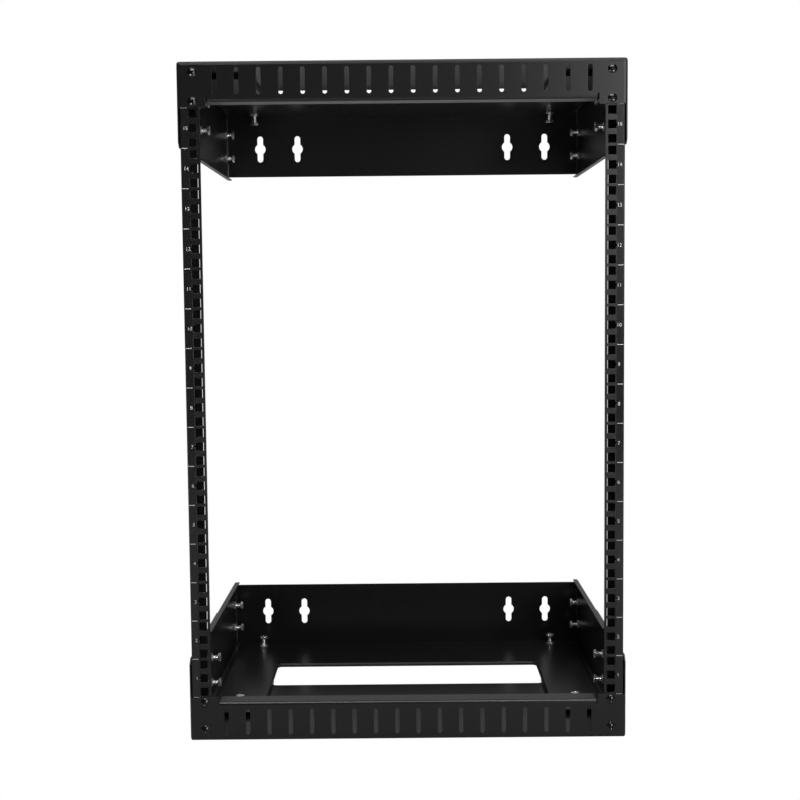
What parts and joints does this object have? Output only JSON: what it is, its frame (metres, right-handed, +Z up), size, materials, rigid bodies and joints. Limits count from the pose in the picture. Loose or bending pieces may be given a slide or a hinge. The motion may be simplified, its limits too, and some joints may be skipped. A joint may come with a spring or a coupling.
{
  "type": "two post open frame rack",
  "caption": "Open-frame wall rack: posts with square equipment holes stand between folded steel trays with slotted fascias, decks, side plates and wall plates with keyholes.",
  "frame": {"origin": "middle of the rack's footprint, on the floor plane", "axes": "+X to the right, +Y from the front to the wall, +Z up"},
  "size_m": [0.506, 0.413, 0.7684],
  "materials": {
    "black_powder_coat": "satin powder coat with a fine texture",
    "zinc_plate": "bright zinc plate"
  },
  "bodies": {
    "root": {"left_post": "black_powder_coat", "right_post": "black_powder_coat", "bottom_front_tray": "black_powder_coat", "bottom_deck": "black_powder_coat", "bottom_wall_plate": "black_powder_coat", "bottom_left_side_plate": "black_powder_coat", "bottom_right_side_plate": "black_powder_coat", "top_front_tray": "black_powder_coat", "top_deck": "black_powder_coat", "top_wall_plate": "black_powder_coat", "top_left_side_plate": "black_powder_coat", "top_right_side_plate": "black_powder_coat", "bottom_left_side_bolts": "zinc_plate", "bottom_left_side_nuts": "zinc_plate", "bottom_left_deck_studs": "zinc_plate", "bottom_left_deck_nuts": "zinc_plate", "bottom_right_side_bolts": "zinc_plate", "bottom_right_side_nuts": "zinc_plate", "bottom_right_deck_studs": "zinc_plate", "bottom_right_deck_nuts": "zinc_plate", "top_left_side_bolts": "zinc_plate", "top_left_side_nuts": "zinc_plate", "top_left_deck_studs": "zinc_plate", "top_left_deck_nuts": "zinc_plate", "top_right_side_bolts": "zinc_plate", "top_right_side_nuts": "zinc_plate", "top_right_deck_studs": "zinc_plate", "top_right_deck_nuts": "zinc_plate"}
  },
  "joints": []
}
